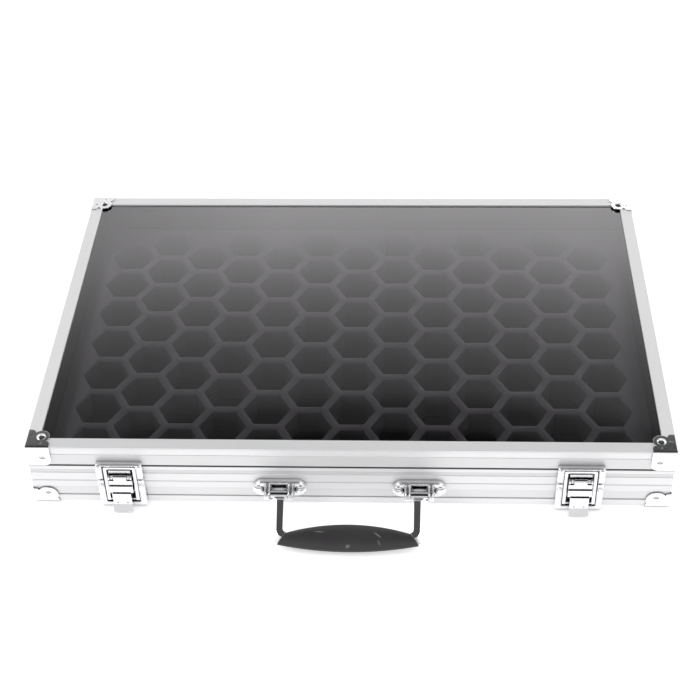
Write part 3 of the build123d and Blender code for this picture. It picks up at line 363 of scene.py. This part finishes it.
# Marks on the grip, each a soft ellipse broken up by noise, in the handle's own plane
def scuffed(wire, marks):
    across = along(wire, "X")
    ahead = (along(wire, "Y") - handlePlace["axisY"]) * math.cos(handlePlace["pitch"])
    rise = (along(wire, "Z") - handlePlace["axisZ"]) * math.sin(handlePlace["pitch"])
    reach = ahead + rise
    broken = noise(wire, scuffBreaks["scale"], 3.0, 0.7) * scuffBreaks["gain"] - scuffBreaks["start"]
    total = wire.maths("ADD", 0.0, 0.0)
    for x, y, turn, halfLength, halfWidth, strength in marks:
        cosine = math.cos(math.radians(turn))
        sine = math.sin(math.radians(turn))
        lengthwise = (across - x) * (cosine / halfLength) + (reach - y) * (sine / halfLength)
        widthwise = (reach - y) * (cosine / halfWidth) - (across - x) * (sine / halfWidth)
        inside = (1.0 - lengthwise * lengthwise - widthwise * widthwise).limited()
        total = total + inside * strength
    return (total * broken.limited()).limited()


# Moulded plastic with a fine spark texture and, where it has any, light scuffs
def plastic(name, look, marks=()):
    material, wire = startMaterial(name)
    spark = noise(wire, look["sparkScale"])
    mottle = noise(wire, look["mottleScale"], 3.0)
    scuffs = scuffed(wire, marks)
    rough = look["roughness"] + look["mottleGrain"] * (mottle - noiseMiddle) + look["wornGrain"] * scuffs
    return closeMaterial(material, principled(wire, {
        "Base Color": mixed(wire, scuffs, mixed(wire, mottle, look["dark"], look["light"]), look["worn"]),
        "Roughness": rough.limited(),
        "Specular IOR Level": look["gloss"],
        "Normal": bump(wire, spark, look["bump"], look["bumpDepth"]),
    }))


finishes = {
    "railFront": aluminium("drawnAluminiumAcross", "X", aluminiumLook),
    "railRear": aluminium("drawnAluminiumRearPaintedLight", "X", paintedLightRailLook),
    "railSide": aluminium("drawnAluminiumDeepPaintedLight", "Y", paintedLightRailLook),
    "chrome": chrome("brightPlate", chromeLook),
    "plate": chrome("roundedPlate", plateLook),
    "rivet": chrome("rivetPlate", rivetLook),
    "steel": chrome("pinSteel", steelLook),
    "window": smokedWindow("smokedWindow", windowLook),
    "foam": foam("blackFoam", foamLook),
    "pad": foam("floorFoamPaintedShade", shadedPadLook),
    "grip": plastic("gripPlastic", gripLook, gripScuffs),
    "black": plastic("blackPlastic", blackLook),
    "panel": plastic("bottomPanel", panelLook),
}


# Which finish a CAD node has, by its name
def finishOf(node):
    if node.startswith(("lid_rail", "base_rail")):
        return {"front": "railFront", "rear": "railRear"}.get(node.split("_")[-1], "railSide")
    if node == "lid_window":
        return "window"
    if node == "foam_insert":
        return "foam"
    if node == "foam_pad":
        return "pad"
    if node == "base_panel":
        return "panel"
    if node.startswith("handle_grip"):
        return "grip"
    if node in ("lid_gasket", "lid_corner_blocks", "lid_corner_keys", "base_corner_keys"):
        return "black"
    if node.endswith("_pins"):
        return "steel"
    if node.startswith(("keeper_left", "keeper_right", "handle_bracket", "latch_base")):
        return "plate"
    if node.endswith("_rivets"):
        return "rivet"
    return "chrome"


def dress(piece, finish):
    piece.data.materials.clear()
    piece.data.materials.append(finishes[finish])


for node, piece in nodes.items():
    dress(piece, finishOf(node))

print("softened pieces")


# Rounds off a piece's edges that are sharper than a turn in degrees, by a modifier
def rounded(piece, name, width, segments, turn):
    rounding = piece.modifiers.new(name, "BEVEL")
    rounding.width = width
    rounding.segments = segments
    rounding.limit_method = "ANGLE"
    rounding.angle_limit = math.radians(turn)
    rounding.use_clamp_overlap = False
    return rounding


foamSoftening = {"mergeDistance": 0.000005, "width": 0.0007, "segments": 2, "turn": 32.0}


# A merged copy of a foam node with its sharp edges rounded off, standing for the node
def softenedFoam(node):
    shape = bmesh.new()
    shape.from_mesh(nodes[node].data)
    bmesh.ops.remove_doubles(shape, verts=shape.verts, dist=foamSoftening["mergeDistance"])
    for face in shape.faces:
        face.smooth = True
    mesh = bpy.data.meshes.new(node + "_softened")
    shape.to_mesh(mesh)
    shape.free()
    piece = bpy.data.objects.new(node + "_softened", mesh)
    scene.collection.objects.link(piece)
    rounding = rounded(
        piece, "softEdges", foamSoftening["width"], foamSoftening["segments"], foamSoftening["turn"])
    rounding.harden_normals = True
    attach(piece, nodes[node]["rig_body"])
    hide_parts(node)
    dress(piece, finishOf(node))
    return piece


for node in ("foam_insert", "foam_pad"):
    softenedFoam(node)

print("grip")

# Sizes of the grip in its own plane, in metres: across, and towards the front from the handle's axis
gripShape = {
    "innerHalf": 0.0395, "innerMiddle": 0.0205, "innerEnd": 0.0263,
    "frontHalf": 0.0455, "frontMiddle": 0.0391, "frontEnd": 0.0346,
    "halfThickness": 0.0045, "rimShare": 0.36, "endShare": 0.34, "steps": 72, "turns": 28,
}
gripSoftening = {"width": 0.0004, "segments": 3, "turn": 50.0}


# Depth of an arc below its middle at x, from its half chord and rise: R - sqrt(R^2 - x^2)
def arcDip(x, half, rise):
    radius = (half * half + rise * rise) / (2.0 * abs(rise))
    return radius - np.sqrt(radius * radius - x * x)


# One half of the grip. Across the grip the height is a thin rim plus a parabola,
# h * (rimShare * sqrt(sin a) + (1 - rimShare) * (1 - w^2)) with w = -cos a,
# and it falls towards both ends by endShare * |u|^3. The flat face closes each ring of points.
def gripHalf(name, node, side):
    look = gripShape
    u = np.linspace(-1.0, 1.0, look["steps"] + 1)[:, None]
    angle = np.linspace(0.0, math.pi, look["turns"] + 1)[None, :]
    w = -np.cos(angle)
    innerHalf, frontHalf = look["innerHalf"], look["frontHalf"]
    inner = look["innerMiddle"] + arcDip(innerHalf * u, innerHalf, look["innerEnd"] - look["innerMiddle"])
    front = look["frontMiddle"] - arcDip(frontHalf * u, frontHalf, look["frontMiddle"] - look["frontEnd"])
    share = (w + 1.0) / 2.0
    across = u * (innerHalf * (1.0 - share) + frontHalf * share)
    ahead = inner * (1.0 - share) + front * share
    profile = look["rimShare"] * np.sqrt(np.sin(angle).clip(0.0)) + (1.0 - look["rimShare"]) * (1.0 - w * w)
    height = side * look["halfThickness"] * profile * (1.0 - look["endShare"] * np.abs(u) ** 3)
    pitch = handlePlace["pitch"]
    y = handlePlace["axisY"] - ahead * math.cos(pitch) - height * math.sin(pitch)
    z = handlePlace["axisZ"] - ahead * math.sin(pitch) + height * math.cos(pitch)
    points = np.stack([across, y, z], axis=2).reshape(-1, 3)
    ring = look["turns"] + 1
    faces = []
    for step in range(look["steps"]):
        first = step * ring
        following = first + ring
        for turn in range(look["turns"]):
            faces.append((
                first + turn, first + turn + 1, following + turn + 1, following + turn)[::-side])
        faces.append((first + ring - 1, first, following, following + ring - 1)[::-side])
    faces.append(tuple(range(ring))[::side])
    faces.append(tuple(look["steps"] * ring + turn for turn in range(ring))[::-side])
    mesh = bpy.data.meshes.new(name)
    mesh.from_pydata(points.tolist(), [], faces)
    mesh.shade_smooth()
    piece = bpy.data.objects.new(name, mesh)
    scene.collection.objects.link(piece)
    rounded(piece, "softEnds", gripSoftening["width"], gripSoftening["segments"], gripSoftening["turn"])
    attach(piece, "handle")
    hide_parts(node)
    dress(piece, "grip")


gripHalf("gripUpper", "handle_grip_upper", 1)
gripHalf("gripLower", "handle_grip_lower", -1)

print("camera")

cameraPlace = {
    "position": (0.03589, -0.77473, 0.70541), "turn": (48.2876, 1.2382, 1.8587), "lens": 73.126,
    "sensor": 36.0, "near": 0.01,
}
cameraData = bpy.data.cameras.new("photoCamera")
cameraData.lens = cameraPlace["lens"]
cameraData.sensor_width = cameraPlace["sensor"]
cameraData.clip_start = cameraPlace["near"]
camera = bpy.data.objects.new("photoCamera", cameraData)
scene.collection.objects.link(camera)
camera.location = cameraPlace["position"]
camera.rotation_euler = [math.radians(angle) for angle in cameraPlace["turn"]]
scene.camera = camera

print("studio")

white = (1.0, 1.0, 1.0, 1.0)
studio = {"backdrop": 1.0, "walls": 1.6, "fill": 0.85}
# How far the ceiling's axis leans to the back, in degrees, and its stops: nearness to the axis, and level
ceilingAxis = 10.0
ceilingStops = (
    (0.0, 0.08), (0.10, 0.50), (0.45, 0.55), (0.66, 1.0), (0.712, 0.96), (0.725, 0.85), (0.732, 0.76),
    (0.741, 0.60), (0.752, 0.45), (0.763, 0.34), (0.777, 0.23), (0.791, 0.16), (0.803, 0.115),
    (0.808, 0.055), (0.816, 0.045), (0.820, 0.010), (0.84, 0.008), (0.87, 0.03), (1.0, 0.06),
)
# Places and slopes of the room's darker parts are in the parts of a direction of length 1
frontPatch = {
    "bottom": 0.60, "bottomSlope": 14.0, "back": 0.05, "backSlope": 5.0, "halfWidth": 0.50, "sideSlope": 6.0,
    "depth": 0.95,
}
leftPatch = {"inner": -0.09, "innerSlope": 8.0, "outer": -0.45, "outerSlope": 6.0, "depth": 0.40}
rightPatch = {"inner": 0.12, "innerSlope": 8.0, "outer": 0.45, "outerSlope": 6.0, "depth": 0.18}
behindCase = {"start": 0.05, "slope": 5.0}

world = bpy.data.worlds.new("studioWorld")
scene.world = world
world.use_nodes = True
world.node_tree.nodes.clear()
wire = Wire(world.node_tree)
direction = wire.node("ShaderNodeTexCoord", out="Generated")
sideways, backward, upward = (part(direction, axis) for axis in "XYZ")
# What shiny faces see: bright walls all round and a dark patch overhead, leaning to the back
lean = math.radians(ceilingAxis)
ceiling = (backward * math.sin(lean) + upward * math.cos(lean)).ramp(ceilingStops)
# The camera and the room above it are dark
frontShade = risesFrom(upward, frontPatch["bottom"], frontPatch["bottomSlope"])
frontShade = frontShade * fallsTo(backward, frontPatch["back"], frontPatch["backSlope"]) * frontPatch["depth"]
frontShade = frontShade * within(sideways, frontPatch["halfWidth"], frontPatch["sideSlope"])
# Behind the case the room falls off a little to both sides
leftFall = fallsTo(sideways, leftPatch["inner"], leftPatch["innerSlope"])
leftFall = leftFall * risesFrom(sideways, leftPatch["outer"], leftPatch["outerSlope"]) * leftPatch["depth"]
rightFall = risesFrom(sideways, rightPatch["inner"], rightPatch["innerSlope"])
rightFall = rightFall * fallsTo(sideways, rightPatch["outer"], rightPatch["outerSlope"]) * rightPatch["depth"]
behind = risesFrom(backward, behindCase["start"], behindCase["slope"])
ceiling = ceiling * (1.0 - (leftFall + rightFall) * behind)
# Shiny faces see the room, the camera sees the white backdrop, and all other light is an even fill
glossy = wire.node("ShaderNodeLightPath", out="Is Glossy Ray")
seen = wire.node("ShaderNodeLightPath", out="Is Camera Ray")
mirrored = ceiling * (1.0 - frontShade) * studio["walls"] * glossy
diffuse = studio["fill"] * (1.0 - glossy) * (1.0 - seen)
background = wire.node("ShaderNodeBackground", {}, {
    "Color": white, "Strength": mirrored + studio["backdrop"] * seen + diffuse})
worldOutput = world.node_tree.nodes.new("ShaderNodeOutputWorld")
world.node_tree.links.new(background.socket, worldOutput.inputs["Surface"])

# A pale floor that keeps the case's shadow and glows up to white where the camera sees it
floorLook = {
    "size": 6.0, "colour": (0.80, 0.80, 0.80), "roughness": 0.9, "gloss": 0.1,
    "seenGlow": 0.45, "glossyGlow": 0.53,
}
floorMesh = bpy.data.meshes.new("floor")
reach = floorLook["size"] / 2
corners = [(-reach, -reach, 0), (reach, -reach, 0), (reach, reach, 0), (-reach, reach, 0)]
floorMesh.from_pydata(corners, [], [(0, 1, 2, 3)])
floor = bpy.data.objects.new("floor", floorMesh)
scene.collection.objects.link(floor)
floorMaterial, wire = startMaterial("paleFloor")
seen = wire.node("ShaderNodeLightPath", out="Is Camera Ray")
glossy = wire.node("ShaderNodeLightPath", out="Is Glossy Ray")
glow = wire.node("ShaderNodeEmission", {}, {
    "Color": white, "Strength": floorLook["seenGlow"] * seen + floorLook["glossyGlow"] * glossy})
matt = principled(wire, {
    "Base Color": floorLook["colour"] + (1.0,), "Roughness": floorLook["roughness"],
    "Specular IOR Level": floorLook["gloss"]})
closeMaterial(floorMaterial, wire.node("ShaderNodeAddShader", {}, {0: glow, 1: matt}))
floorMesh.materials.append(floorMaterial)

lamps = {
    "keyLeft": {"position": (-1.6, -0.5, 1.5), "size": 1.0, "power": 13.0},
    "fillRight": {"position": (1.7, -0.6, 1.3), "size": 1.0, "power": 7.0},
}
for name, lamp in lamps.items():
    lightData = bpy.data.lights.new(name, "AREA")
    lightData.shape = "DISK"
    lightData.size = lamp["size"]
    lightData.energy = lamp["power"]
    light = bpy.data.objects.new(name, lightData)
    scene.collection.objects.link(light)
    light.location = lamp["position"]
    light.rotation_euler = (-Vector(lamp["position"])).to_track_quat("-Z", "Y").to_euler()

scene.view_settings.view_transform = "Standard"

print("finished")
